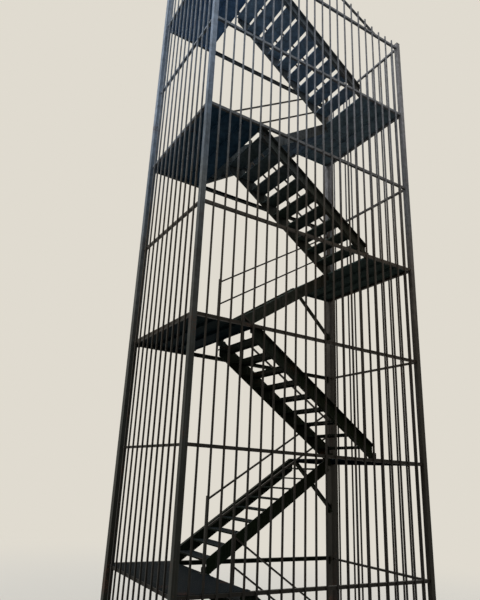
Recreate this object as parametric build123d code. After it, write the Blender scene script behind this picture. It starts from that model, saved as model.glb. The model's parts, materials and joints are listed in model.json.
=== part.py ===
"""Caged dog-leg fire escape stair: four posts, barred sides, plate landings and open-riser flights.

Millimetres, +Z up. X runs along the barred front from left to right, Y from the front to the open
back, and the origin is on the ground under the middle of the tower.
"""
from build123d import *
import math
import os

# Heights
half_storey = 1500.0
flight_count = 7
guard_height = 1100.0
bar_overrun = 35.0
bar_ground_gap = 60.0

# Plan, between the centre lines of the posts
post_spacing_x = 3840.0
post_spacing_y = 1940.0

# Flights
riser_count = 10
going = 222.0
tread_depth = 250.0
tread_plate = 5.0
tread_lip = 20.0

# Gap left where two pieces are seated against each other
seat_gap = 0.3

# Posts, base plates and caps: the back posts, at the storeys, are the heavier ones
front_post_side = 70.0
front_post_wall = 4.0
back_post_side = 100.0
back_post_wall = 5.0
post_overrun = 70.0
base_side = 220.0
base_thickness = 12.0
anchor_spacing = 160.0
anchor_radius = 9.0
cap_thickness = 5.0
cap_overhang = 3.0

# Barred panels
front_bar_count = 22
side_bar_count = 11
bar_side = 20.0
bar_recess = 2.0
rail_side = 40.0
tie_rail_side = 30.0
bar_bite = 3.0
sill_rail_offset = 120.0

# Stringers: a channel at the barred side, its flanges turned away from the treads, and a flat plate in
# the middle, deeper in the front lane; their top edges are a little over the line of the nosings
string_depth = 172.0
deep_string_depth = 215.0
string_rise = 20.0
channel_flange = 50.0
channel_web = 6.0
channel_flange_thickness = 8.0
flange_to_rail = 10.0
string_plate = 10.0
middle_gap = 24.0

# Landings: a plate with its free edge folded down, on angle joists and an angle along its back
deck_plate = 5.0
deck_lip = 22.0
deck_bar_gap = 6.0
joist_count = 2
joist_leg = 45.0
joist_wall = 5.0
edge_leg = 50.0
edge_wall = 5.0

# Beams and braces in the open back
back_beam_depth = 56.0
back_beam_width = 50.0
back_beam_wall = 5.0
braced_levels = (2, 4)
brace_side = 80.0
brace_wall = 6.0
brace_drop = 755.0
brace_reach = 790.0

# Flight railings: the rails' heights over the line of the nosings at the foot, what they lose by the
# head, and how far before the landing they end in the front lane, on a newel over the stringer
newel_side = 24.0
newel_setback = 42.0
railing_bar = 22.0
top_rail = 757.0
middle_rail = 412.0
rail_fall = 70.0
front_head_gap = 380.0

# Guard on the highest landing
guard_rail_count = 3
guard_clearance = 5.0

# Sloping rail over the highest flight
slope_rail_side = 30.0
slope_foot_from_right = 590.0

# Sizes worked out from the driving dimensions
riser = half_storey / riser_count
flight_run = going * (riser_count - 1)
landing_length = (post_spacing_x - flight_run) / 2
left_line = -post_spacing_x / 2
right_line = post_spacing_x / 2
front_line = -post_spacing_y / 2
back_line = post_spacing_y / 2
left_edge = left_line + landing_length
right_edge = right_line - landing_length
top_level = half_storey * flight_count
guard_top = top_level + guard_height
slope = riser / going
plumb = math.hypot(1.0, slope)
top_rail_face = top_level - deck_plate - seat_gap

# Distances outwards from a line of posts
bar_outer_offset = front_post_side / 2 - bar_recess
bar_inner_offset = bar_outer_offset - bar_side
rail_outer_offset = bar_inner_offset + bar_bite
rail_inner_offset = rail_outer_offset - rail_side
deck_offset = bar_inner_offset - deck_bar_gap

# Faces that the treads of the front lane are seated between
lane_outer_face = front_line - rail_inner_offset + flange_to_rail + channel_flange + channel_web
lane_inner_face = -middle_gap / 2 - string_plate

# Beams across the open back, flush with the back of their posts, and the landings in front of them
beam_back = back_line + back_post_side / 2
beam_front = beam_back - back_beam_width
landing_back = beam_front - seat_gap


def box_between(x0, x1, y0, y1, z0, z1):
    """A box given by its two corners."""
    return Pos((x0 + x1) / 2, (y0 + y1) / 2, (z0 + z1) / 2) * Box(x1 - x0, y1 - y0, z1 - z0)


def plate_xz(points, y0, y1):
    """A flat plate whose outline lies in X and Z, between two values of Y."""
    outline = Plane.XZ * Polyline(*points, close=True)
    solid = extrude(make_face(outline), amount=y1 - y0, dir=(0, 1, 0))
    return Pos(0, y0, 0) * solid


def plate_xy(points, z0, z1):
    """A flat plate whose outline lies in X and Y, between two heights."""
    solid = extrude(make_face(Polyline(*points, close=True)), amount=z1 - z0, dir=(0, 0, 1))
    return Pos(0, 0, z0) * solid


def level_height(level):
    """Walking height of a level: 0 is the ground, odd levels are on the left."""
    return half_storey * level


def write(name, shapes):
    """Writes one node as solids that don't touch each other."""
    solids = []
    for shape in shapes:
        solids.extend(shape.solids())
    export_step(Compound(children=solids), f"parts/{name}.step")


def fused(shapes):
    """One solid from pieces that are welded together."""
    first = shapes[0]
    return first.fuse(*shapes[1:]).clean()


def post_places():
    """Name, centre, top, side and wall of each corner post."""
    short_top = top_level + post_overrun
    tall_top = guard_top + bar_overrun
    return [
        ("post_front_left", left_line, front_line, tall_top, front_post_side, front_post_wall),
        ("post_front_right", right_line, front_line, short_top, front_post_side, front_post_wall),
        ("post_back_left", left_line, back_line, tall_top, back_post_side, back_post_wall),
        ("post_back_right", right_line, back_line, short_top, back_post_side, back_post_wall),
    ]


def corner_post(x, y, top, side, wall):
    """Square hollow section on its base plate."""
    height = top - base_thickness
    outer = Pos(x, y, base_thickness + height / 2) * Box(side, side, height)
    hole_side = side - 2 * wall
    inner = Pos(x, y, base_thickness + height / 2) * Box(hole_side, hole_side, height)
    return outer - inner


def base_plate(x, y):
    """Plate with four anchor holes under a post."""
    plate = Pos(x, y, base_thickness / 2) * Box(base_side, base_side, base_thickness)
    half = anchor_spacing / 2
    for dx in (-half, half):
        for dy in (-half, half):
            plate -= Pos(x + dx, y + dy, base_thickness / 2) * Cylinder(anchor_radius, base_thickness)
    return plate


def post_cap(x, y, top, side):
    """Plate that closes the top of a post."""
    cap_side = side + 2 * cap_overhang
    return Pos(x, y, top + cap_thickness / 2) * Box(cap_side, cap_side, cap_thickness)


def rail_undersides():
    """Undersides of the level rails in the barred sides: the sill, then the one under each level."""
    undersides = [sill_rail_offset - rail_side / 2]
    for level in range(1, flight_count + 1):
        undersides.append(level_height(level) - deck_plate - seat_gap - rail_side)
    return undersides


def slope_rail_height(x):
    """Underside of the sloping rail over the highest flight, from the guard down to the top rail."""
    foot_x = right_line - slope_foot_from_right
    if x <= left_edge:
        return guard_top - slope_rail_side
    if x >= foot_x:
        return top_rail_face
    share = (foot_x - x) / (foot_x - left_edge)
    return top_rail_face + (guard_top - slope_rail_side - top_rail_face) * share


def front_panel():
    """Barred front: level rails, the sloping rail at the top and bars that run past them."""
    bar_y0 = front_line - bar_outer_offset
    bar_y1 = bar_y0 + bar_side
    rail_y0 = front_line - rail_outer_offset
    rail_y1 = rail_y0 + rail_side
    x0 = left_line + front_post_side / 2
    x1 = right_line - front_post_side / 2
    pieces = []
    for low in rail_undersides():
        pieces.append(box_between(x0, x1, rail_y0, rail_y1, low, low + rail_side))
    low = guard_top - slope_rail_side
    foot_x = right_line - slope_foot_from_right
    outline = [
        (x0, low),
        (left_edge, low),
        (foot_x, top_rail_face),
        (foot_x + slope_rail_side, top_rail_face),
        (left_edge, guard_top),
        (x0, guard_top),
    ]
    pieces.append(plate_xz(outline, rail_y0, rail_y1))
    pitch = post_spacing_x / (front_bar_count + 1)
    for index in range(front_bar_count):
        x = left_line + pitch * (index + 1)
        top = slope_rail_height(x) + slope_rail_side + bar_overrun
        pieces.append(box_between(x - bar_side / 2, x + bar_side / 2, bar_y0, bar_y1, bar_ground_gap, top))
    return fused(pieces)


def side_panel(line, outward, top):
    """Barred left or right side, its rails thinner where they carry no landing."""
    bar_out = line + outward * bar_outer_offset
    bar_in = bar_out - outward * bar_side
    rail_out = line + outward * rail_outer_offset
    rail_in = rail_out - outward * rail_side
    y0 = front_line + front_post_side / 2
    y1 = back_line - back_post_side / 2
    rails = []
    for level, low in enumerate(rail_undersides()):
        carries = level == 0 or landing_side(level)[0] == line
        rails.append((low, low + (rail_side if carries else tie_rail_side)))
    if top > top_level:
        rails.append((top - rail_side, top))
    pieces = []
    for low, high in rails:
        pieces.append(box_between(min(rail_out, rail_in), max(rail_out, rail_in), y0, y1, low, high))
    pitch = post_spacing_y / (side_bar_count + 1)
    for index in range(side_bar_count):
        y = front_line + pitch * (index + 1)
        pieces.append(
            box_between(
                min(bar_out, bar_in),
                max(bar_out, bar_in),
                y - bar_side / 2,
                y + bar_side / 2,
                bar_ground_gap,
                top + bar_overrun,
            )
        )
    return fused(pieces)


def flight_ends(flight):
    """Foot and head edges of a flight and the way it rises along X."""
    if flight % 2 == 0:
        return right_edge, left_edge, -1
    return left_edge, right_edge, 1


def lane_limits(flight):
    """Tread faces of a flight's lane: even flights are in the front lane."""
    if flight % 2 == 0:
        return lane_outer_face, lane_inner_face
    return -lane_inner_face, -lane_outer_face


def raked_strip(flight, top_drop, bottom_drop, y0, y1):
    """Raked plate under the top edge of a flight's stringers, cut plumb at both landings."""
    foot_x, head_x, _ = flight_ends(flight)
    foot_z = level_height(flight) + riser + string_rise
    head_z = level_height(flight + 1) + string_rise
    outline = [
        (foot_x, foot_z - bottom_drop),
        (head_x, head_z - bottom_drop),
        (head_x, head_z - top_drop),
        (foot_x, foot_z - top_drop),
    ]
    return plate_xz(outline, min(y0, y1), max(y0, y1))


def trimmed(stringer, flight):
    """A stringer cut level with the deck at its head, and at the ground."""
    head_z = level_height(flight + 1)
    reach = post_spacing_x / 2
    stringer -= box_between(-reach, reach, front_line, back_line, head_z, head_z + riser)
    if flight == 0:
        stringer -= box_between(-reach, reach, front_line, back_line, -riser, 0)
    return stringer


def channel_stringer(flight, web_face, outward):
    """Channel at the barred side of the treads."""
    drop = string_depth * plumb
    thick = channel_flange_thickness * plumb
    web_far = web_face + outward * channel_web
    tip = web_far + outward * channel_flange
    channel = fused(
        [
            raked_strip(flight, 0, drop, web_face, web_far),
            raked_strip(flight, 0, thick, web_face, tip),
            raked_strip(flight, drop - thick, drop, web_face, tip),
        ]
    )
    return trimmed(channel, flight)


def plate_stringer(flight, face, outward, depth):
    """Flat plate in the middle of the tower, at the other end of the treads."""
    return trimmed(raked_strip(flight, 0, depth * plumb, face, face + outward * string_plate), flight)


def stringers(flight):
    """Both stringers of a flight."""
    low, high = lane_limits(flight)
    if flight % 2 == 0:
        return [channel_stringer(flight, low, -1), plate_stringer(flight, high, 1, deep_string_depth)]
    return [plate_stringer(flight, low, -1, string_depth), channel_stringer(flight, high, 1)]


def tread(flight, step):
    """Folded plate with a lip down at its nosing and at its back."""
    foot_x, _, way = flight_ends(flight)
    low, high = lane_limits(flight)
    nose = foot_x + way * going * (step - 1)
    back = nose + way * tread_depth
    top = level_height(flight) + riser * step
    outline = [
        (nose, top),
        (back, top),
        (back, top - tread_lip),
        (back - way * tread_plate, top - tread_lip),
        (back - way * tread_plate, top - tread_plate),
        (nose + way * tread_plate, top - tread_plate),
        (nose + way * tread_plate, top - tread_lip),
        (nose, top - tread_lip),
    ]
    return plate_xz(outline, low + seat_gap, high - seat_gap)


def treads(flight):
    """All treads of a flight; the upper landing is its last step."""
    return [tread(flight, step) for step in range(1, riser_count)]


def newel(x, y, seats, top):
    """Square upright whose foot is cut to what it stands on, given at its two sides."""
    half = newel_side / 2
    outline = [
        (x - half, seats[0]),
        (x + half, seats[1]),
        (x + half, top),
        (x - half, top),
    ]
    return plate_xz(outline, y - half, y + half)


def railing(flight):
    """Two newels with a top rail and a middle rail over the middle stringer."""
    foot_x, head_x, way = flight_ends(flight)
    foot_z = level_height(flight)
    head_z = level_height(flight + 1)

    def nosing_height(x):
        return head_z + (x - head_x) * way * slope

    middle_y = (middle_gap + string_plate) / 2
    head_post = head_x + way * newel_setback
    head_seats = (head_z, head_z)
    if flight % 2 == 0:
        middle_y = -middle_y
        head_post = head_x - way * front_head_gap
        sides = (head_post - newel_side / 2, head_post + newel_side / 2)
        head_seats = [nosing_height(x) + string_rise for x in sides]
    foot_post = foot_x - way * newel_setback
    foot_line = nosing_height(foot_post)
    head_line = nosing_height(head_post) - rail_fall
    pieces = [
        newel(foot_post, middle_y, (foot_z, foot_z), foot_line + top_rail + bar_overrun),
        newel(head_post, middle_y, head_seats, head_line + top_rail + bar_overrun),
    ]
    lift = railing_bar * plumb
    for offset in (top_rail, middle_rail):
        outline = [
            (foot_post, foot_line + offset - lift),
            (head_post, head_line + offset - lift),
            (head_post, head_line + offset),
            (foot_post, foot_line + offset),
        ]
        pieces.append(plate_xz(outline, middle_y - railing_bar / 2, middle_y + railing_bar / 2))
    return fused(pieces)


def landing_side(level):
    """Post line, free edge and outward way along X of a landing: odd levels are on the left."""
    if level % 2 == 1:
        return left_line, left_edge, -1
    return right_line, right_edge, 1


def landing_deck(level):
    """Plate over the level rails, notched round its two posts, with its free edge folded down."""
    line, free_x, outward = landing_side(level)
    top = level_height(level)
    front_face = front_post_side / 2 + seat_gap
    back_face = back_post_side / 2 + seat_gap
    outer_x = line + outward * deck_offset
    y0 = front_line - deck_offset
    outline = [
        (free_x, y0),
        (line - outward * front_face, y0),
        (line - outward * front_face, front_line + front_face),
        (outer_x, front_line + front_face),
        (outer_x, back_line - back_face),
        (line - outward * back_face, back_line - back_face),
        (line - outward * back_face, landing_back),
        (free_x, landing_back),
    ]
    plate = plate_xy(outline, top - deck_plate, top)
    fold_x = free_x + outward * deck_plate
    rail_face = front_line - rail_inner_offset + seat_gap
    low_x, high_x = min(free_x, fold_x), max(free_x, fold_x)
    lip = box_between(low_x, high_x, rail_face, landing_back, top - deck_lip, top - deck_plate)
    return fused([plate, lip])


def landing_frame(level):
    """Angle joists from the front rail to an angle along the back edge, all under the deck."""
    line, free_x, outward = landing_side(level)
    top = level_height(level) - deck_plate
    y0 = front_line - rail_inner_offset + seat_gap
    y1 = landing_back
    inner_x = free_x + outward * (deck_plate + seat_gap)
    post_x = line - outward * (back_post_side / 2 + seat_gap)
    x0 = min(inner_x, post_x)
    x1 = max(inner_x, post_x)
    pieces = [
        box_between(x0, x1, y1 - edge_wall, y1, top - edge_leg, top),
        box_between(x0, x1, y1 - edge_leg, y1, top - edge_wall, top),
    ]
    pitch = (line + outward * rail_inner_offset - free_x) / (joist_count + 1)
    for index in range(joist_count):
        x = free_x + pitch * (index + 1)
        leg_x = x + outward * joist_wall
        tip_x = x + outward * joist_leg
        back = y1 - edge_wall
        pieces.append(box_between(min(x, leg_x), max(x, leg_x), y0, back, top - joist_leg, top))
        pieces.append(box_between(min(x, tip_x), max(x, tip_x), y0, back, top - joist_wall, top))
    return fused(pieces)


def back_beam(level):
    """Channel across the open back at a floor landing."""
    top = level_height(level)
    bottom = top - back_beam_depth
    x0 = left_line + back_post_side / 2
    x1 = right_line - back_post_side / 2
    web_face = beam_back - back_beam_wall
    beam = box_between(x0, x1, beam_front, beam_back, bottom, top)
    beam -= box_between(x0, x1, beam_front, web_face, bottom + back_beam_wall, top - back_beam_wall)
    return beam


def knee_brace(level):
    """Angle from the back right post up to the free end of a half landing."""
    post_face = right_line - back_post_side / 2
    top = level_height(level) - deck_plate - edge_leg
    y1 = landing_back
    head_x = post_face - brace_reach
    foot_z = top - brace_drop
    length = math.hypot(brace_reach, brace_drop)

    def leg(width, y0):
        along_top = width * length / brace_drop
        along_post = width * length / brace_reach
        outline = [
            (post_face, foot_z),
            (post_face, foot_z + along_post),
            (head_x + along_top, top),
            (head_x, top),
        ]
        return plate_xz(outline, y0, y1)

    return fused([leg(brace_side, y1 - brace_wall), leg(brace_wall, y1 - brace_side)])


def top_guard():
    """Guard on the open edge of the highest landing, over the back lane."""
    y0 = (middle_gap + string_plate - newel_side) / 2
    y1 = landing_back - guard_clearance
    x0 = left_edge - newel_setback - newel_side / 2
    x1 = x0 + newel_side
    pieces = []
    for y in (y0, y1 - newel_side):
        pieces.append(box_between(x0, x1, y, y + newel_side, top_level, guard_top))
    rail_y = (y0 + newel_side / 2, y1 - newel_side / 2)
    half = railing_bar / 2
    middle = (x0 + x1) / 2
    for index in range(guard_rail_count):
        top = top_level + guard_height * (index + 1) / guard_rail_count
        pieces.append(box_between(middle - half, middle + half, rail_y[0], rail_y[1], top - railing_bar, top))
    return fused(pieces)


def level_name(level):
    """Plain name of a level."""
    if level % 2 == 1:
        return f"floor_{(level - 1) // 2}"
    return f"half_{level // 2}"


def main():
    os.makedirs("parts", exist_ok=True)
    places = post_places()
    for name, x, y, top, side, wall in places:
        write(name, [corner_post(x, y, top, side, wall)])
    write("base_plates", [base_plate(x, y) for _, x, y, _, _, _ in places])
    write("post_caps", [post_cap(x, y, top, side) for _, x, y, top, side, _ in places])
    write("front_panel", [front_panel()])
    write("left_panel", [side_panel(left_line, -1, guard_top)])
    write("right_panel", [side_panel(right_line, 1, top_level)])
    for flight in range(flight_count):
        write(f"flight_{flight}_stringers", stringers(flight))
        write(f"flight_{flight}_treads", treads(flight))
        write(f"flight_{flight}_railing", [railing(flight)])
    for level in range(1, flight_count + 1):
        write(f"{level_name(level)}_deck", [landing_deck(level)])
        write(f"{level_name(level)}_frame", [landing_frame(level)])
    write("back_beams", [back_beam(level) for level in range(1, flight_count + 1, 2)])
    write("knee_braces", [knee_brace(level) for level in braced_levels])
    write("top_guard", [top_guard()])


main()
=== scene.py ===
import bpy
import json
import math
from mathutils import Matrix, Vector


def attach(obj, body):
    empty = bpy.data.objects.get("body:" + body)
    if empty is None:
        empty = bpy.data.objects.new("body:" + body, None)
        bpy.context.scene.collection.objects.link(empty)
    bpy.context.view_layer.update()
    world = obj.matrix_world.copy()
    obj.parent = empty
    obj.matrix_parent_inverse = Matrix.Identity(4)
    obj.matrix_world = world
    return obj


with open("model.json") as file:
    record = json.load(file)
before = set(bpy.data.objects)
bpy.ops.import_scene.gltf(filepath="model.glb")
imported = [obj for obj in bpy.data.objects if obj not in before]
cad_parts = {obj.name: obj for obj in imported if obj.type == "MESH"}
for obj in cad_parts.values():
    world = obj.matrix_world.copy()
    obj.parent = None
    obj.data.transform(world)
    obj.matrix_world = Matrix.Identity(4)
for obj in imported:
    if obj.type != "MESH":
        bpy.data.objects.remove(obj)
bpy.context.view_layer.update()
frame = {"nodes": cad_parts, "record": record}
nodes = frame["nodes"]
print("frame loaded:", len(nodes), "nodes")


# The stair's own measures, in metres, as the CAD has them
stair = {
    "postLines": ((-1.92, -0.97), (1.92, -0.97), (-1.92, 0.97), (1.92, 0.97)),
    "postSides": (0.070, 0.070, 0.100, 0.100),
    "halfStorey": 1.5,
    "levels": 7,
    "riser": 0.150,
    "going": 0.222,
    "treadsInFlight": 9,
    "treadDepth": 0.250,
    "treadPlate": 0.005,
    "landingEdge": 0.999,          # free edge of a landing, left and right of the middle
    "laneOuter": 0.880,            # stringer faces that the treads are seated between
    "laneInner": 0.022,
    "channelWeb": 0.006,
    "middlePlate": 0.010,
    "deckFront": -0.977,
    "deckBack": 0.9697,
    "railDrop": 0.0453,            # underside of a level rail below its level
    "sillRail": 0.100,             # underside of the lowest rails
    "guardRail": 11.560,           # underside of the highest rail of the left side
    "frontRailFace": 0.986,        # outer faces of the level rails, from the middle of the stair
    "sideRailFace": 1.936,
    "slopeX": (1.33, -0.999),      # foot and head of the sloping rail over the highest flight
    "slopeZ": (10.4947, 11.570),   # where its welds start there
    "frontBars": 22,
    "sideBars": 11,
    "barSide": 0.020,
    "basePlate": 0.012,
}

camera = {
    "place": (-4.4663, -6.1784, 2.6619),   # metres
    "turn": 0.5108,                        # radians from +Y towards +X
    "lift": 0.3123,                        # radians above the horizon
    "roll": 0.0564,                        # radians, clockwise picture
    "focalPixels": 515.7,
    "middle": (220.98, 309.47),            # where the optical axis meets the picture, in pixels
    "picture": (480, 600),
    "filmWidth": 36.0,                     # millimetres on the long side
    "farthest": 400.0,
}


def addCamera():
    sinTurn, cosTurn = math.sin(camera["turn"]), math.cos(camera["turn"])
    sinLift, cosLift = math.sin(camera["lift"]), math.cos(camera["lift"])
    ahead = Vector((sinTurn * cosLift, cosTurn * cosLift, sinLift))
    level = Vector((cosTurn, -sinTurn, 0.0))
    upright = level.cross(ahead)
    sinRoll, cosRoll = math.sin(camera["roll"]), math.cos(camera["roll"])
    right = level * cosRoll + upright * sinRoll
    up = upright * cosRoll - level * sinRoll
    wide, tall = camera["picture"]
    bpy.ops.object.camera_add(location=camera["place"])
    eye = bpy.context.object
    eye.name = "camera"
    turned = Matrix((right, up, -ahead)).transposed().to_4x4()
    eye.matrix_world = Matrix.Translation(camera["place"]) @ turned
    eye.data.sensor_width = camera["filmWidth"]
    eye.data.sensor_fit = "AUTO"
    eye.data.lens = camera["focalPixels"] / tall * camera["filmWidth"]
    eye.data.shift_x = (wide / 2 - camera["middle"][0]) / tall
    eye.data.shift_y = (camera["middle"][1] - tall / 2) / tall
    eye.data.clip_end = camera["farthest"]
    bpy.context.scene.camera = eye


addCamera()
print("camera placed")


def hexColour(code):
    channels = [int(code[i:i + 2], 16) / 255 for i in (1, 3, 5)]
    linear = [c / 12.92 if c <= 0.04045 else ((c + 0.055) / 1.055) ** 2.4 for c in channels]
    return (*linear, 1.0)


def addNode(tree, kind, settings, links):
    node = tree.nodes.new("ShaderNode" + kind)
    for name, value in settings.items():
        if isinstance(name, int) or name in node.inputs:
            node.inputs[name].default_value = value
        else:
            setattr(node, name, value)
    for name, source in links.items():
        tree.links.new(source, node.inputs[name])
    return node


# Mix node sockets for colours
mixFactor, mixFirst, mixSecond, mixColour = 0, 6, 7, 2

# Noise seldom leaves these values, so a pattern is stretched between them
noiseLow, noiseHigh = 0.3, 0.7


def paintedSteel(look):
    made = bpy.data.materials.new(look["name"])
    made.use_nodes = True
    tree = made.node_tree
    shader = tree.nodes["Principled BSDF"]
    place = addNode(tree, "TexCoord", {}, {}).outputs["Object"]
    height = addNode(tree, "SeparateXYZ", {}, {"Vector": place}).outputs["Z"]

    # painted light towards the top of the tower and painted shade low down, shifted up or down in broad
    # uneven patches
    patches = addNode(
        tree, "TexNoise", {"Scale": 1.0 / look["patchSize"], "Detail": 3.0}, {"Vector": place},
    )
    lift = addNode(
        tree, "MapRange",
        {"From Min": noiseLow, "From Max": noiseHigh,
         "To Min": -look["patchReach"], "To Max": look["patchReach"]},
        {"Value": patches.outputs["Fac"]},
    )
    raised = addNode(tree, "Math", {"operation": "ADD"}, {0: height, 1: lift.outputs["Result"]})
    lowest, highest = look["tones"][0][0], look["tones"][-1][0]
    share = addNode(
        tree, "MapRange", {"From Min": lowest, "From Max": highest},
        {"Value": raised.outputs["Value"]},
    )
    paintWithPaintedLight = addNode(tree, "ValToRGB", {}, {"Fac": share.outputs["Result"]})
    stops = paintWithPaintedLight.color_ramp.elements
    stops.remove(stops[1])
    stops[0].position = 0.0
    stops[0].color = hexColour(look["tones"][0][1])
    for metres, code in look["tones"][1:]:
        stops.new((metres - lowest) / (highest - lowest)).color = hexColour(code)

    # the coat is thicker and darker in some places than in others
    coat = addNode(
        tree, "TexNoise", {"Scale": 1.0 / look["coatSize"], "Detail": 5.0, "Roughness": 0.65},
        {"Vector": place},
    )
    depth = addNode(
        tree, "MapRange",
        {"From Min": noiseLow, "From Max": noiseHigh,
         "To Min": 1.0 - look["coatReach"], "To Max": 1.0 + look["coatReach"]},
        {"Value": coat.outputs["Fac"]},
    )
    uneven = addNode(
        tree, "Mix", {"data_type": "RGBA", "blend_type": "MULTIPLY", mixFactor: 1.0},
        {mixFirst: paintWithPaintedLight.outputs["Color"], mixSecond: depth.outputs["Result"]},
    )

    # soot and lime that rain has drawn down the steel in thin upright runs
    thin = 1 / look["runWidth"]
    stretched = addNode(
        tree, "Mapping", {"vector_type": "POINT", "Scale": (thin, thin, look["runsPerMetre"])},
        {"Vector": place},
    )
    runs = addNode(
        tree, "TexNoise", {"Scale": 1.0, "Detail": 2.0}, {"Vector": stretched.outputs["Vector"]},
    )
    runMask = addNode(
        tree, "MapRange",
        {"From Min": look["runFrom"][0], "From Max": look["runFrom"][1],
         "To Max": look["runStrength"]},
        {"Value": runs.outputs["Fac"]},
    )
    limeMask = addNode(
        tree, "MapRange",
        {"From Min": look["limeFrom"][0], "From Max": look["limeFrom"][1],
         "To Max": look["limeStrength"]},
        {"Value": runs.outputs["Fac"]},
    )
    sooty = addNode(
        tree, "Mix", {"data_type": "RGBA", mixSecond: hexColour(look["soot"])},
        {mixFactor: runMask.outputs["Result"], mixFirst: uneven.outputs[mixColour]},
    )
    limed = addNode(
        tree, "Mix", {"data_type": "RGBA", mixSecond: hexColour(look["lime"])},
        {mixFactor: limeMask.outputs["Result"], mixFirst: sooty.outputs[mixColour]},
    )

    # painted warm shade darkens and browns the steel towards its right end
    across = addNode(tree, "SeparateXYZ", {}, {"Vector": place}).outputs["X"]
    paintedWarmShadeMask = addNode(
        tree, "MapRange",
        {"From Min": look["paintedShadeFrom"], "From Max": look["paintedShadeTo"],
         "To Max": look["paintedShadeStrength"]},
        {"Value": across},
    )
    paintedWarmShade = addNode(
        tree, "Mix",
        {"data_type": "RGBA", "blend_type": "MULTIPLY", mixSecond: hexColour(look["paintedShadeTint"])},
        {mixFactor: paintedWarmShadeMask.outputs["Result"], mixFirst: limed.outputs[mixColour]},
    )

    # knocks and hands have worn the coat thin along the edges
    rounded = addNode(tree, "Bevel", {"samples": 4, "Radius": look["edgeWidth"]}, {})
    flat = addNode(tree, "NewGeometry", {}, {})
    edge = addNode(
        tree, "VectorMath", {"operation": "DOT_PRODUCT"},
        {0: rounded.outputs["Normal"], 1: flat.outputs["Normal"]},
    )
    edgeMask = addNode(
        tree, "MapRange",
        {"From Min": look["edgeFrom"][0], "From Max": look["edgeFrom"][1],
         "To Max": look["edgeStrength"]},
        {"Value": edge.outputs["Value"]},
    )
    broken = addNode(
        tree, "Math", {"operation": "MULTIPLY"},
        {0: edgeMask.outputs["Result"], 1: coat.outputs["Fac"]},
    )
    streaked = addNode(
        tree, "Mix", {"data_type": "RGBA", mixSecond: hexColour(look["edge"])},
        {mixFactor: broken.outputs["Value"], mixFirst: paintedWarmShade.outputs[mixColour]},
    )

    # what shoes carry in settles on faces that look up
    facing = addNode(tree, "SeparateXYZ", {}, {"Vector": flat.outputs["Normal"]}).outputs["Z"]
    dustMask = addNode(
        tree, "MapRange",
        {"From Min": look["dustFrom"], "From Max": 1.0, "To Max": look["dustStrength"]},
        {"Value": facing},
    )
    dusty = addNode(
        tree, "Mix", {"data_type": "RGBA", mixSecond: hexColour(look["dust"])},
        {mixFactor: dustMask.outputs["Result"], mixFirst: streaked.outputs[mixColour]},
    )

    # chips where the paint is through to rust, in groups
    chips = addNode(
        tree, "TexNoise", {"Scale": 1.0 / look["chipSize"], "Detail": 4.0, "Roughness": 0.6},
        {"Vector": place},
    )
    groups = addNode(
        tree, "TexNoise", {"Scale": 1.0 / look["chipGroup"], "Detail": 1.0}, {"Vector": place},
    )
    both = addNode(
        tree, "Math", {"operation": "MULTIPLY"},
        {0: chips.outputs["Fac"], 1: groups.outputs["Fac"]},
    )
    chipMask = addNode(
        tree, "MapRange",
        {"From Min": look["chipFrom"], "From Max": look["chipFrom"] + look["chipRim"]},
        {"Value": both.outputs["Value"]},
    )
    rusted = addNode(
        tree, "Mix", {"data_type": "RGBA", mixSecond: hexColour(look["rust"])},
        {mixFactor: chipMask.outputs["Result"], mixFirst: dusty.outputs[mixColour]},
    )
    tree.links.new(rusted.outputs[mixColour], shader.inputs["Base Color"])

    # gloss differs with the brushing and is lost on rust
    grain = addNode(
        tree, "TexNoise", {"Scale": 1.0 / look["grainSize"], "Detail": 3.0}, {"Vector": place},
    )
    gloss = addNode(
        tree, "MapRange",
        {"From Min": noiseLow, "From Max": noiseHigh,
         "To Min": look["roughness"][0], "To Max": look["roughness"][1]},
        {"Value": grain.outputs["Fac"]},
    )
    rough = addNode(
        tree, "Math", {"operation": "MULTIPLY_ADD", 1: look["rustRoughness"]},
        {0: chipMask.outputs["Result"], 2: gloss.outputs["Result"]},
    )
    tree.links.new(rough.outputs["Value"], shader.inputs["Roughness"])

    # brush marks and orange peel of the coat, with the chips a coat's thickness lower
    lowered = addNode(
        tree, "Math", {"operation": "MULTIPLY_ADD", 1: -look["chipDepth"]},
        {0: chipMask.outputs["Result"], 2: grain.outputs["Fac"]},
    )
    bump = addNode(
        tree, "Bump", {"Strength": look["bumpStrength"], "Distance": look["bumpDepth"]},
        {"Height": lowered.outputs["Value"]},
    )
    tree.links.new(bump.outputs["Normal"], shader.inputs["Normal"])
    shader.inputs["IOR"].default_value = look["ior"]
    shader.inputs["Specular IOR Level"].default_value = look["specular"]
    return made
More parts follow.
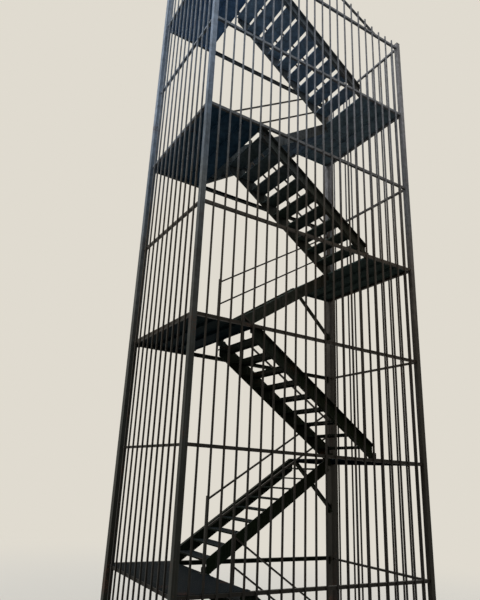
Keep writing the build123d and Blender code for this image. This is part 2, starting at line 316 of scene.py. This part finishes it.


# Alkyd enamel over red lead primer on hot rolled section: a dull, slightly uneven film that hides the
# mill scale, blue grey with painted sky light towards the top and nearly black with painted shade low
# down.
# Sizes are in metres.
enamel = {
    "name": "chalked graphite alkyd enamel on hollow section",
    # height, and the colour there, pale with painted light towards the top and dark with painted shade
    # low down
    "tones": (
        (1.5, "#171812"), (3.6, "#262823"), (4.9, "#373834"),
        (6.3, "#585C5C"), (7.3, "#626F7C"), (8.6, "#8896A6"),
    ),
    # broad patches, and how far they shift the painted light and shade up or down
    "patchSize": 0.8, "patchReach": 0.45,
    # a hand's width of thick or thin brushing
    "coatSize": 0.09, "coatReach": 0.35,
    # runs are 3 to 8 mm wide on real steel, and drawn at 14 mm so that they show
    "soot": "#1B1C18", "runWidth": 0.014, "runsPerMetre": 1.1,
    "runFrom": (0.5, 0.72), "runStrength": 0.5,
    "lime": "#5A5D5C", "limeFrom": (0.46, 0.3), "limeStrength": 0.14,
    # X between which the painted warm shade sets in, and the tint that it gives
    "paintedShadeTint": "#FFE4CD", "paintedShadeFrom": -1.7, "paintedShadeTo": 0.9, "paintedShadeStrength": 1.0,
    # edgeFrom holds the cosines of the turn at which wear sets in and is full
    "edge": "#6E7170", "edgeWidth": 0.003, "edgeFrom": (0.995, 0.9), "edgeStrength": 0.35,
    "dust": "#5E5C55", "dustFrom": 0.3, "dustStrength": 0.3,
    # chips are 2 to 5 mm on real steel, and drawn at 12 mm so that they show
    "rust": "#4C3326", "chipSize": 0.012, "chipGroup": 0.35, "chipFrom": 0.39, "chipRim": 0.03,
    "chipDepth": 2.0, "rustRoughness": 0.3,
    # orange peel of sprayed or brushed enamel, 1 to 3 mm
    "grainSize": 0.0025, "roughness": (0.42, 0.62), "bumpStrength": 0.25, "bumpDepth": 0.0004,
    # chalk and soot leave the film little mirror shine, so its specular level is far under the usual 0.5
    "ior": 1.5, "specular": 0.16,
}
postPaint = paintedSteel(enamel)

# The same enamel on thin walled square tube: painted shade makes it brown black lower down, and painted
# light pale towards the top
barPaint = paintedSteel({
    **enamel, "name": "chalked graphite alkyd enamel on square tube",
    "tones": (
        (1.5, "#120F09"), (3.6, "#1A150D"), (5.0, "#272016"), (6.5, "#474239"), (8.6, "#838B93"),
    ),
    "patchSize": 0.5, "patchReach": 0.35, "runWidth": 0.008, "paintedShadeStrength": 0.55,
    "chipSize": 0.008, "chipGroup": 0.25,
})

# Enamel on chequer plate, folded cold for the treads: worn thin by shoes on top, dull, pale blue with
# painted light towards the top of the tower and dark with painted shade low down
treadPaint = paintedSteel({
    **enamel, "name": "worn blue black enamel on folded chequer plate",
    "tones": (
        (1.5, "#0C130A"), (4.0, "#10150D"), (6.7, "#566158"), (8.6, "#8799AA"), (10.5, "#ACC8E2"),
    ),
    "patchSize": 0.4, "patchReach": 0.3, "runStrength": 0.2, "paintedShadeStrength": 0.0,
    "dust": "#202629", "dustStrength": 0.8, "chipFrom": 0.385,
    "roughness": (0.55, 0.75), "specular": 0.03,
})

# Enamel on chequer plate, cut with a guillotine for the landings: duller than the treads, black with
# soot and grit on top and bluer below
# Its tones are pale with painted light towards the top of the tower and dark with painted shade low down
deckPaint = paintedSteel({
    **enamel, "name": "blue black enamel on chequer plate landing",
    "tones": (
        (1.5, "#101517"), (4.5, "#0B1D24"), (6.0, "#586760"),
        (7.5, "#476780"), (9.0, "#8EA2AB"), (10.5, "#80A6D0"),
    ),
    "patchReach": 0.2, "runStrength": 0.15, "limeStrength": 0.04, "paintedShadeStrength": 0.0,
    "dust": "#11171A", "dustStrength": 0.85, "chipFrom": 0.4,
    "roughness": (0.62, 0.82), "specular": 0.015,
})

# The raised lozenges of the chequer plate: shoes scuff them first, to a paler and smoother film
# Their tones are pale with painted light towards the top of the tower and dark with painted shade low
# down
lozengePaint = paintedSteel({
    **enamel, "name": "scuffed enamel on rolled lozenges",
    "tones": ((1.5, "#1D2325"), (4.5, "#20272A"), (7.5, "#46525B"), (10.5, "#71828F")),
    "patchReach": 0.2, "dust": "#1C2326", "dustStrength": 0.75, "chipFrom": 0.37,
    "roughness": (0.4, 0.65), "specular": 0.05,
})

# Rolled channel and plate: enamel brushed on by hand over mill scale, green black with painted shade low
# down and paler with painted light towards the top
framePaint = paintedSteel({
    **enamel, "name": "brushed green black enamel on rolled channel",
    "tones": ((1.5, "#0C160A"), (3.7, "#131B0F"), (6.7, "#3F4540"), (9.7, "#6A7985")),
    "patchSize": 0.5, "patchReach": 0.4, "runWidth": 0.02,
    "grainSize": 0.004, "roughness": (0.5, 0.72), "specular": 0.03,
})

# Square tube rails: the same brushed enamel, rubbed to a slight shine by hands
# Its tones are lighter with painted light towards the top of the tower and darker with painted shade low
# down
railingPaint = paintedSteel({
    **enamel, "name": "hand rubbed brown black enamel on tube",
    "tones": ((1.5, "#1C1914"), (5.0, "#2B2721"), (9.0, "#4A4A49")),
    "patchReach": 0.4, "roughness": (0.32, 0.5), "runStrength": 0.2, "dustStrength": 0.2,
})

# Hot dip galvanised bolts gone dull: grey zinc bloom with rust in the threads
zinc = paintedSteel({
    **enamel, "name": "dull galvanised bolts",
    "tones": ((0.0, "#6C6A65"), (1.0, "#83868A")),
    "patchReach": 0.4, "runStrength": 0.3,
    "rust": "#6B452C", "chipSize": 0.006, "chipGroup": 0.05, "chipFrom": 0.34,
    "grainSize": 0.0015, "roughness": (0.5, 0.75),
})

finishes = {
    "post_paint": postPaint,
    "bar_paint": barPaint,
    "tread_paint": treadPaint,
    "deck_paint": deckPaint,
    "frame_paint": framePaint,
    "railing_paint": railingPaint,
}
for part in frame["record"]["subparts"]:
    piece = nodes[part["node"]]
    # joists are painted in one go with the landing that they carry
    joists = part["node"].endswith("_frame")
    piece.data.materials.clear()
    piece.data.materials.append(deckPaint if joists else finishes[part["material_slot"]])
print("finishes made")


# A face looks along an axis when its normal has more than this of it
straight = 0.9


def deselectAll():
    bpy.ops.object.select_all(action="DESELECT")


def choose(pieces):
    deselectAll()
    for piece in pieces:
        piece.select_set(True)
    bpy.context.view_layer.objects.active = pieces[0]


def copied(piece, shift=(0.0, 0.0, 0.0), turn=(0.0, 0.0, 0.0)):
    twin = piece.copy()
    twin.data = piece.data.copy()
    bpy.context.collection.objects.link(twin)
    twin.rotation_euler = turn
    twin.location = shift
    return twin


def placedCopies(model, spots):
    # a copy at each place and turn, instead of the model
    copies = [copied(model, place, turn) for place, turn in spots]
    bpy.data.objects.remove(model)
    return copies


def joined(pieces):
    choose(pieces)
    if len(pieces) > 1:
        bpy.ops.object.join()
    bpy.ops.object.transform_apply(location=True, rotation=True, scale=True)
    return bpy.context.object


def repeated(piece, count, step):
    choose([piece])
    row = piece.modifiers.new("row", "ARRAY")
    row.count = count
    row.use_relative_offset = False
    row.use_constant_offset = True
    row.constant_offset_displace = step
    bpy.ops.object.modifier_apply(modifier="row")
    return piece


def blank(size, middle):
    # a plate before its corners are cut
    deselectAll()
    bpy.ops.mesh.primitive_cube_add(size=1.0, location=middle)
    piece = bpy.context.object
    piece.scale = size
    return joined([piece])


def finished(piece, name, finish):
    piece.name = name
    piece.data.name = name
    piece.data.materials.clear()
    piece.data.materials.append(finish)
    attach(piece, "root")
    return piece


def pickFaces(piece, wanted):
    bpy.ops.mesh.select_all(action="DESELECT")
    bpy.ops.object.mode_set(mode="OBJECT")
    for face in piece.data.polygons:
        face.select = wanted(face)
    bpy.ops.object.mode_set(mode="EDIT")


def pickEdges(piece, wanted):
    bpy.ops.mesh.select_mode(type="EDGE")
    bpy.ops.mesh.select_all(action="DESELECT")
    bpy.ops.object.mode_set(mode="OBJECT")
    points = piece.data.vertices
    for edge in piece.data.edges:
        edge.select = wanted(points[edge.vertices[0]].co, points[edge.vertices[1]].co)
    bpy.ops.object.mode_set(mode="EDIT")


def startEditing(piece):
    choose([piece])
    bpy.ops.object.mode_set(mode="EDIT")
    bpy.ops.mesh.select_mode(type="FACE")


def stopEditing():
    bpy.ops.mesh.select_all(action="SELECT")
    bpy.ops.mesh.normals_make_consistent(inside=False)
    bpy.ops.object.mode_set(mode="OBJECT")


# Fillet weld: a rounded bead whose ripples are the stops of the rod
bead = {"sides": 6, "radius": 0.0045, "ripple": 0.011, "swell": 1.18}


def weldBead(length):
    deselectAll()
    bpy.ops.mesh.primitive_circle_add(
        vertices=bead["sides"], radius=bead["radius"], fill_type="NGON",
        location=(0.0, 0.0, 0.0),
    )
    piece = bpy.context.object
    steps = max(2, round(length / bead["ripple"]))
    startEditing(piece)
    bpy.ops.mesh.select_all(action="SELECT")
    for index in range(steps):
        grown = bead["swell"] if index % 2 == 0 else 1 / bead["swell"]
        top = (0.0, 0.0, length * (index + 1) / steps)
        rise = (0.0, 0.0, length / steps)
        bpy.ops.mesh.extrude_region_move(TRANSFORM_OT_translate={"value": rise})
        bpy.ops.transform.resize(value=(grown, grown, 1.0), center_override=top)
    stopEditing()
    choose([piece])
    bpy.ops.object.shade_smooth()
    return piece


# Welds where the bars cross the level rails: one bead down each side of a bar
barWeld = {"length": 0.036, "tieLength": 0.028, "start": 0.001}


def weldsOnRail(count, pitch, along, start, length):
    # a row of bead pairs on one rail, along X for the front and along Y for the sides
    half = Vector(along) * stair["barSide"] / 2
    one = weldBead(length)
    other = copied(one, Vector(start) + half)
    one.location = Vector(start) - half
    return repeated(joined([one, other]), count, Vector(along) * pitch)


def firstRail():
    return stair["halfStorey"] - stair["railDrop"]


def stackedWelds(row, sillShift):
    # the row under the first level is repeated up the tower and copied down to the sill
    sill = copied(row, (0.0, 0.0, sillShift))
    stack = repeated(row, stair["levels"], (0.0, 0.0, stair["halfStorey"]))
    return [stack, sill]


def frontWelds():
    bars = stair["frontBars"]
    left = stair["postLines"][0][0]
    pitch = -2 * left / (bars + 1)
    face = -stair["frontRailFace"]
    first = (left + pitch, face, firstRail() + barWeld["start"])
    row = weldsOnRail(bars, pitch, (1.0, 0.0, 0.0), first, barWeld["length"])
    pieces = stackedWelds(row, stair["sillRail"] - firstRail())
    # a pair on each bar that the sloping rail crosses
    (footX, headX), (footZ, headZ) = stair["slopeX"], stair["slopeZ"]
    spots = []
    for index in range(bars):
        x = left + pitch * (index + 1)
        if x < footX - pitch:
            share = min(1.0, (footX - x) / (footX - headX))
            z = footZ + (headZ - footZ) * share
            for side in (-1, 1):
                spots.append(((x + side * stair["barSide"] / 2, face, z), (0.0, 0.0, 0.0)))
    pieces += placedCopies(weldBead(barWeld["tieLength"]), spots)
    return finished(joined(pieces), "front_bar_welds", barPaint)


def sideWelds(name, outward):
    bars = stair["sideBars"]
    front = stair["postLines"][0][1]
    pitch = -2 * front / (bars + 1)
    face = outward * stair["sideRailFace"]
    first = (face, front + pitch, firstRail() + barWeld["start"])
    row = weldsOnRail(bars, pitch, (0.0, 1.0, 0.0), first, barWeld["tieLength"])
    pieces = stackedWelds(row, stair["sillRail"] - firstRail())
    if outward < 0:
        pieces.append(copied(pieces[1], (0.0, 0.0, stair["guardRail"] - firstRail())))
    return finished(joined(pieces), name, barPaint)


frontWelds()
sideWelds("left_bar_welds", -1)
sideWelds("right_bar_welds", 1)
print("bar welds made")


def flightWay(flight):
    return -1 if flight % 2 == 0 else 1


def lane(flight):
    # the two faces that a flight's treads are welded to
    outer, inner = stair["laneOuter"], stair["laneInner"]
    return (-outer, -inner) if flight % 2 == 0 else (inner, outer)


def firstNosing(flight):
    return -flightWay(flight) * stair["landingEdge"]


def stepOf(flight):
    return (flightWay(flight) * stair["going"], 0.0, stair["riser"])


# Welds under both ends of every tread
treadWeld = {"length": 0.22, "fromNose": 0.015}


def treadWelds(flight, model):
    way = flightWay(flight)
    start = firstNosing(flight) + way * treadWeld["fromNose"]
    under = stair["halfStorey"] * flight + stair["riser"] - stair["treadPlate"]
    turn = (0.0, way * math.pi / 2, 0.0)
    pair = [copied(model, (start, y, under), turn) for y in lane(flight)]
    row = repeated(joined(pair), stair["treadsInFlight"], stepOf(flight))
    return finished(row, f"flight_{flight}_tread_welds", framePaint)


# Raised lozenges rolled into chequer plate, in pairs that lie across each other: 26 mm long and 1.6 mm
# high as on real plate, in a cell of 44 mm where real plate has about 30, to keep their number down
chequer = {
    "long": 0.026, "wide": 0.009, "high": 0.0016, "sunk": 0.0005, "topShare": 0.55, "cell": 0.044,
}


def lozenge():
    deselectAll()
    bpy.ops.mesh.primitive_circle_add(
        vertices=4, radius=chequer["long"] / 2, fill_type="NGON",
        location=(0.0, 0.0, -chequer["sunk"]),
    )
    piece = bpy.context.object
    piece.scale = (1.0, chequer["wide"] / chequer["long"], 1.0)
    choose([piece])
    bpy.ops.object.transform_apply(location=True, rotation=True, scale=True)
    startEditing(piece)
    bpy.ops.mesh.select_all(action="SELECT")
    tall = chequer["high"] + chequer["sunk"]
    bpy.ops.mesh.extrude_region_move(TRANSFORM_OT_translate={"value": (0.0, 0.0, tall)})
    share = chequer["topShare"]
    top = (0.0, 0.0, chequer["high"])
    bpy.ops.transform.resize(value=(share, share, 1.0), center_override=top)
    stopEditing()
    return piece


def lozengePair():
    one = lozenge()
    half = chequer["cell"] / 2
    other = copied(one, (half, half, 0.0), (0.0, 0.0, -math.pi / 4))
    one.rotation_euler = (0.0, 0.0, math.pi / 4)
    return joined([one, other])


def chequered(model, corner, across, along, height):
    # cells fill a plate from its corner, in metres, and stop short of its edges
    cell = chequer["cell"]
    piece = copied(model)
    countX, countY = int(across / cell), int(along / cell)
    piece.location = (
        corner[0] + (across - (countX - 0.5) * cell) / 2,
        corner[1] + (along - (countY - 0.5) * cell) / 2,
        height,
    )
    piece = joined([piece])
    repeated(piece, countX, (cell, 0.0, 0.0))
    repeated(piece, countY, (0.0, cell, 0.0))
    return piece


def treadChequer(flight, model):
    way = flightWay(flight)
    nose = firstNosing(flight)
    back = nose + way * stair["treadDepth"]
    low, high = lane(flight)
    top = stair["halfStorey"] * flight + stair["riser"]
    piece = chequered(model, (min(nose, back), low), stair["treadDepth"], high - low, top)
    repeated(piece, stair["treadsInFlight"], stepOf(flight))
    return finished(piece, f"flight_{flight}_chequer", lozengePaint)


def levelName(level):
    return f"floor_{(level - 1) // 2}" if level % 2 == 1 else f"half_{level // 2}"


# X between which a landing carries lozenges
deckArea = {"inner": 1.004, "outer": 1.866}


def deckChequer(level, model):
    left = -deckArea["outer"] if level % 2 == 1 else deckArea["inner"]
    across = deckArea["outer"] - deckArea["inner"]
    along = stair["deckBack"] - stair["deckFront"]
    height = stair["halfStorey"] * level
    piece = chequered(model, (left, stair["deckFront"]), across, along, height)
    return finished(piece, f"{levelName(level)}_chequer", lozengePaint)


treadBead = weldBead(treadWeld["length"])
lozenges = lozengePair()
for flight in range(stair["levels"]):
    treadWelds(flight, treadBead)
    treadChequer(flight, lozenges)
    deckChequer(flight + 1, lozenges)
bpy.data.objects.remove(treadBead)
bpy.data.objects.remove(lozenges)
print("chequer plate and tread welds made")


# Hexagon bolt: washer, chamfered head and, on an anchor, a threaded end. Shares are of the shank.
bolt = {
    "sides": 6, "headShare": 0.94, "tallShare": 0.66, "chamfer": 0.12,
    "washerSides": 20, "washerShare": 1.1, "washerTall": 0.0025, "washerRim": 0.12,
}


def hexBolt(size):
    # stands on Z = 0 with its head upwards, for a shank of this diameter in metres
    deselectAll()
    washerTall = bolt["washerTall"]
    bpy.ops.mesh.primitive_cylinder_add(
        vertices=bolt["washerSides"], radius=size * bolt["washerShare"], depth=washerTall,
        location=(0.0, 0.0, washerTall / 2),
    )
    washer = bpy.context.object
    startEditing(washer)
    pickFaces(washer, lambda face: face.normal.z > straight)
    bpy.ops.mesh.inset(thickness=size * bolt["washerRim"], depth=0.0)
    stopEditing()
    deselectAll()
    tall = size * bolt["tallShare"]
    bpy.ops.mesh.primitive_cylinder_add(
        vertices=bolt["sides"], radius=size * bolt["headShare"], depth=tall,
        location=(0.0, 0.0, washerTall + tall / 2),
    )
    head = bpy.context.object
    startEditing(head)
    pickFaces(head, lambda face: face.normal.z > straight)
    bpy.ops.mesh.inset(thickness=size * bolt["chamfer"], depth=size * bolt["chamfer"] / 2)
    stopEditing()
    return joined([head, washer])


# A thread's pitch of 2 mm is drawn at 4 mm, to keep its faces few
thread = {
    "sides": 12, "turns": 5, "pitch": 0.004, "depthShare": 0.86, "rimShare": 0.1, "domeShare": 0.08,
}


def threadedEnd(size, start):
    deselectAll()
    bpy.ops.mesh.primitive_circle_add(
        vertices=thread["sides"], radius=size / 2, fill_type="NGON",
        location=(0.0, 0.0, start),
    )
    piece = bpy.context.object
    startEditing(piece)
    bpy.ops.mesh.select_all(action="SELECT")
    half = thread["pitch"] / 2
    for index in range(2 * thread["turns"]):
        share = thread["depthShare"] if index % 2 == 0 else 1 / thread["depthShare"]
        bpy.ops.mesh.extrude_region_move(TRANSFORM_OT_translate={"value": (0.0, 0.0, half)})
        middle = (0.0, 0.0, start + half * (index + 1))
        bpy.ops.transform.resize(value=(share, share, 1.0), center_override=middle)
    bpy.ops.mesh.inset(thickness=size * thread["rimShare"], depth=size * thread["domeShare"])
    stopEditing()
    return piece


# Anchors of the base plates, each tightened to an angle of its own, in radians
anchor = {"size": 0.016, "spacing": 0.160, "turns": (0.7, 1.1), "sunk": 0.001}


def anchorBolts():
    size = anchor["size"]
    top = bolt["washerTall"] + size * bolt["tallShare"]
    model = joined([hexBolt(size), threadedEnd(size, top - anchor["sunk"])])
    half = anchor["spacing"] / 2
    spots = []
    for postX, postY in stair["postLines"]:
        for sideX in (-1, 1):
            for sideY in (-1, 1):
                angle = anchor["turns"][0] * sideX + anchor["turns"][1] * sideY + postX
                place = (postX + sideX * half, postY + sideY * half, stair["basePlate"])
                spots.append((place, (0.0, 0.0, angle)))
    return finished(joined(placedCopies(model, spots)), "anchor_bolts", zinc)


def postFootWelds():
    placed = []
    for (postX, postY), side in zip(stair["postLines"], stair["postSides"]):
        spots = []
        for index in range(4):
            angle = index * math.pi / 2
            corner = Matrix.Rotation(angle, 3, "Z") @ Vector((-side / 2, -side / 2, 0.0))
            place = (postX + corner.x, postY + corner.y, stair["basePlate"])
            spots.append((place, (0.0, math.pi / 2, angle)))
        placed += placedCopies(weldBead(side), spots)
    return finished(joined(placed), "post_foot_welds", postPaint)


anchorBolts()
postFootWelds()
print("post feet made")


# Edges shorter than this across a plate are its corners
shortest = 0.001

# Lugs that hold the ends of the stringers: a plate with rounded corners and two bolts
lug = {
    "long": 0.150, "tall": 0.080, "thick": 0.008, "corner": 0.014, "rounding": 3,
    "onString": 0.085, "underDeck": 0.022, "bolt": 0.012, "boltsAt": (0.025, 0.062),
}


def lugModel():
    # X towards the string with the landing's edge at 0, Y through the plate, which starts at 0
    middle = (lug["onString"] - lug["long"] / 2, lug["thick"] / 2, 0.0)
    plate = blank((lug["long"], lug["thick"], lug["tall"]), middle)
    startEditing(plate)
    pickEdges(plate, lambda a, b: abs(a.y - b.y) > shortest)
    bpy.ops.mesh.bevel(offset=lug["corner"], segments=lug["rounding"])
    stopEditing()
    spots = [((x, lug["thick"], 0.0), (-math.pi / 2, 0.0, 0.0)) for x in lug["boltsAt"]]
    return joined([plate, *placedCopies(hexBolt(lug["bolt"]), spots)])


def stringLugs():
    spots = []
    for flight in range(stair["levels"]):
        way = flightWay(flight)
        low, high = lane(flight)
        # web or plate thickness on the low and the high side of the lane
        webs = (stair["channelWeb"], stair["middlePlate"])
        lowWeb, highWeb = webs if flight % 2 == 0 else webs[::-1]
        footX = firstNosing(flight)
        footZ = stair["halfStorey"] * flight + lug["tall"] / 2
        headX = footX + way * stair["going"] * stair["treadsInFlight"]
        headZ = stair["halfStorey"] * (flight + 1) - lug["underDeck"] - lug["tall"] / 2
        for x, toString, z in ((footX, way, footZ), (headX, -way, headZ)):
            for y, web, outward in ((low, lowWeb, -1), (high, highWeb, 1)):
                # on the outer face of a channel, and on the lane's face of a plate in the middle
                inMiddle = abs(y) == stair["laneInner"]
                face, facing = (y, -outward) if inMiddle else (y + outward * web, outward)
                turn = (0.0 if facing > 0 else math.pi, 0.0 if toString > 0 else math.pi, 0.0)
                spots.append(((x, face, z), turn))
    lugs = joined(placedCopies(lugModel(), spots))
    return finished(lugs, "string_lugs", framePaint)


stringLugs()


# Angle seats under the ends of the channels across the open back
seat = {
    "leg": 0.060, "thick": 0.006, "wide": 0.044, "middleY": 0.996, "under": 0.056,
    "bolt": 0.012, "boltShare": 0.62,
}


def seatModel():
    # upright leg against X = 0, level leg with its top at Z = 0
    leg, thick = seat["leg"], seat["thick"]
    angle = blank((thick, seat["wide"], leg), (thick / 2, 0.0, -leg / 2))
    startEditing(angle)
    bpy.ops.mesh.bisect(plane_co=(0.0, 0.0, -thick), plane_no=(0.0, 0.0, 1.0))
    pickFaces(angle, lambda face: face.normal.x > straight and face.center.z > -thick)
    bpy.ops.mesh.extrude_region_move(TRANSFORM_OT_translate={"value": (leg - thick, 0.0, 0.0)})
    stopEditing()
    reach = leg * seat["boltShare"]
    spots = [
        ((thick, 0.0, -reach), (0.0, math.pi / 2, 0.0)),
        ((reach, 0.0, -thick), (math.pi, 0.0, 0.0)),
    ]
    return joined([angle, *placedCopies(hexBolt(seat["bolt"]), spots)])


def beamSeats():
    spots = []
    postFace = -stair["postLines"][2][0] - stair["postSides"][2] / 2
    for level in range(1, stair["levels"] + 1, 2):
        z = stair["halfStorey"] * level - seat["under"]
        spots.append(((-postFace, seat["middleY"], z), (0.0, 0.0, 0.0)))
        spots.append(((postFace, seat["middleY"], z), (0.0, 0.0, math.pi)))
    seats = joined(placedCopies(seatModel(), spots))
    return finished(seats, "beam_seats", framePaint)


beamSeats()


# Plates under the newels, with a bolt at each corner. The newels at the left stand behind the middle.
newelFoot = {
    "long": 0.072, "wide": 0.112, "thick": 0.006, "corner": 0.008, "rounding": 2,
    "x": 1.041, "leftY": 0.017, "bolt": 0.008, "edge": 0.013,
}


def newelFeet():
    long, wide, thick = newelFoot["long"], newelFoot["wide"], newelFoot["thick"]
    plate = blank((long, wide, thick), (0.0, 0.0, thick / 2))
    startEditing(plate)
    pickEdges(plate, lambda a, b: abs(a.z - b.z) > shortest)
    bpy.ops.mesh.bevel(offset=newelFoot["corner"], segments=newelFoot["rounding"])
    stopEditing()
    reachX = long / 2 - newelFoot["edge"]
    reachY = wide / 2 - newelFoot["edge"]
    corners = [(x, y, thick) for x in (-reachX, reachX) for y in (-reachY, reachY)]
    heads = [(corner, (0.0, 0.0, 0.0)) for corner in corners]
    model = joined([plate, *placedCopies(hexBolt(newelFoot["bolt"]), heads)])
    spots = []
    for level in range(stair["levels"] + 1):
        x, y = (-newelFoot["x"], newelFoot["leftY"]) if level % 2 == 1 else (newelFoot["x"], 0.0)
        spots.append(((x, y, stair["halfStorey"] * level), (0.0, 0.0, 0.0)))
    feet = joined(placedCopies(model, spots))
    return finished(feet, "newel_feet", railingPaint)


newelFeet()


# Gussets behind the feet of the knee braces, a drop under the landings that the braces hold up
gusset = {
    "side": 0.07, "thick": 0.005, "cut": 0.032, "levels": (2, 4), "drop": 0.830,
    "bolt": 0.006, "boltsAt": (-0.016, -0.034), "boltRise": 0.024,
}


def braceGussets():
    # a square plate with one corner cut away, in the corner of post and brace
    side, thick = gusset["side"], gusset["thick"]
    plate = blank((side, thick, side), (-side / 2, thick / 2, side / 2))
    startEditing(plate)
    pickEdges(
        plate, lambda a, b: abs(a.y - b.y) > shortest and a.x < -side / 2 and a.z < side / 2,
    )
    bpy.ops.mesh.bevel(offset=gusset["cut"], segments=1)
    stopEditing()
    turn = (-math.pi / 2, 0.0, 0.0)
    heads = [((x, thick, gusset["boltRise"] - x), turn) for x in gusset["boltsAt"]]
    model = joined([plate, *placedCopies(hexBolt(gusset["bolt"]), heads)])
    spots = []
    postFace = stair["postLines"][3][0] - stair["postSides"][3] / 2
    for level in gusset["levels"]:
        z = stair["halfStorey"] * level - gusset["drop"]
        spots.append(((postFace, stair["deckBack"], z), (0.0, 0.0, 0.0)))
    gussets = joined(placedCopies(model, spots))
    return finished(gussets, "brace_gussets", framePaint)


braceGussets()
print("lugs, seats, newel feet and gussets made")


# Floor and sky: both show the same pale tone, and light the steel as an overcast sky does,
# most from above and little from below
light = {
    "pale": "#E0DBD0",
    "floorPale": "#D0CABD",     # what the light makes as pale as the backdrop
    "floorDark": "#4A4A48",     # what the light from below comes off
    "zenith": 1.15,
    "horizon": 0.62,
    "nadir": 0.10,
    "nadirHeight": -0.5,    # Z of a ray's direction, below which the light stays the same
    "skyTint": "#F4F8FF",
    "floorRadius": 150.0,   # metres
    "floorRoughness": 0.95,
    "floorSides": 64,
    "fadeFrom": 6.0,        # metres from the stair where the floor starts to turn into the backdrop
    "fadeTo": 16.0,
    "sunPower": 1.3,
    "sunSoftness": 0.7,     # radians
    "sunTurn": (0.0, -1.0, -0.1),
    "sunTint": "#EEF4FF",
}


def seenDirectly(tree):
    # 1 for rays from the eye and for what gloss and glass show
    path = addNode(tree, "LightPath", {}, {})
    some = addNode(
        tree, "Math", {"operation": "MAXIMUM"},
        {0: path.outputs["Is Camera Ray"], 1: path.outputs["Is Glossy Ray"]},
    )
    return addNode(
        tree, "Math", {"operation": "MAXIMUM"},
        {0: some.outputs["Value"], 1: path.outputs["Is Transmission Ray"]},
    ).outputs["Value"]


def addFloor():
    deselectAll()
    bpy.ops.mesh.primitive_circle_add(
        vertices=light["floorSides"], radius=light["floorRadius"], fill_type="NGON",
        location=(0.0, 0.0, 0.0),
    )
    floor = bpy.context.object
    floor.name = "floor"
    made = bpy.data.materials.new("pale matt floor")
    made.use_nodes = True
    tree = made.node_tree
    shader = tree.nodes["Principled BSDF"]
    shader.inputs["Roughness"].default_value = light["floorRoughness"]
    shader.inputs["Specular IOR Level"].default_value = 0.0
    seen = seenDirectly(tree)
    colour = addNode(
        tree, "Mix",
        {"data_type": "RGBA",
         mixFirst: hexColour(light["floorDark"]), mixSecond: hexColour(light["floorPale"])},
        {mixFactor: seen},
    )
    tree.links.new(colour.outputs[mixColour], shader.inputs["Base Color"])
    place = addNode(tree, "TexCoord", {}, {}).outputs["Object"]
    away = addNode(tree, "VectorMath", {"operation": "LENGTH"}, {0: place}).outputs["Value"]
    fade = addNode(
        tree, "MapRange",
        {"From Min": light["fadeFrom"], "From Max": light["fadeTo"],
         "interpolation_type": "SMOOTHSTEP"},
        {"Value": away},
    )
    shown = addNode(tree, "Math", {"operation": "MULTIPLY"}, {0: fade.outputs["Result"], 1: seen})
    glow = addNode(tree, "Emission", {"Color": hexColour(light["pale"]), "Strength": 1.0}, {})
    blend = addNode(
        tree, "MixShader", {},
        {0: shown.outputs["Value"], 1: shader.outputs["BSDF"], 2: glow.outputs["Emission"]},
    )
    output = tree.nodes["Material Output"]
    tree.links.new(blend.outputs["Shader"], output.inputs["Surface"])
    floor.data.materials.append(made)


def addSky():
    world = bpy.data.worlds.new("overcast studio")
    bpy.context.scene.world = world
    world.use_nodes = True
    tree = world.node_tree
    place = addNode(tree, "TexCoord", {}, {}).outputs["Generated"]
    height = addNode(tree, "SeparateXYZ", {}, {"Vector": place}).outputs["Z"]
    upper = addNode(
        tree, "MapRange",
        {"From Min": 0.0, "From Max": 1.0, "To Min": light["horizon"], "To Max": light["zenith"]},
        {"Value": height},
    )
    lower = addNode(
        tree, "MapRange",
        {"From Min": light["nadirHeight"], "From Max": 0.0,
         "To Min": light["nadir"], "To Max": light["horizon"]},
        {"Value": height},
    )
    above = addNode(tree, "Math", {"operation": "GREATER_THAN", 1: 0.0}, {0: height})
    strength = addNode(
        tree, "Mix", {"data_type": "FLOAT"},
        {0: above.outputs["Value"], 2: lower.outputs["Result"], 3: upper.outputs["Result"]},
    )
    glow = tree.nodes["Background"]
    glow.inputs["Color"].default_value = hexColour(light["skyTint"])
    tree.links.new(strength.outputs["Result"], glow.inputs["Strength"])
    backdrop = addNode(tree, "Background", {"Color": hexColour(light["pale"]), "Strength": 1.0}, {})
    blend = addNode(
        tree, "MixShader", {},
        {0: seenDirectly(tree), 1: glow.outputs["Background"], 2: backdrop.outputs["Background"]},
    )
    tree.links.new(blend.outputs["Shader"], tree.nodes["World Output"].inputs["Surface"])


def addSun():
    deselectAll()
    bpy.ops.object.light_add(type="SUN", rotation=light["sunTurn"])
    sun = bpy.context.object
    sun.name = "bright side of the sky"
    sun.data.energy = light["sunPower"]
    sun.data.angle = light["sunSoftness"]
    sun.data.color = hexColour(light["sunTint"])[:3]


addFloor()
addSky()
addSun()
bpy.context.scene.view_settings.view_transform = "Standard"
print("floor, sky and light set")
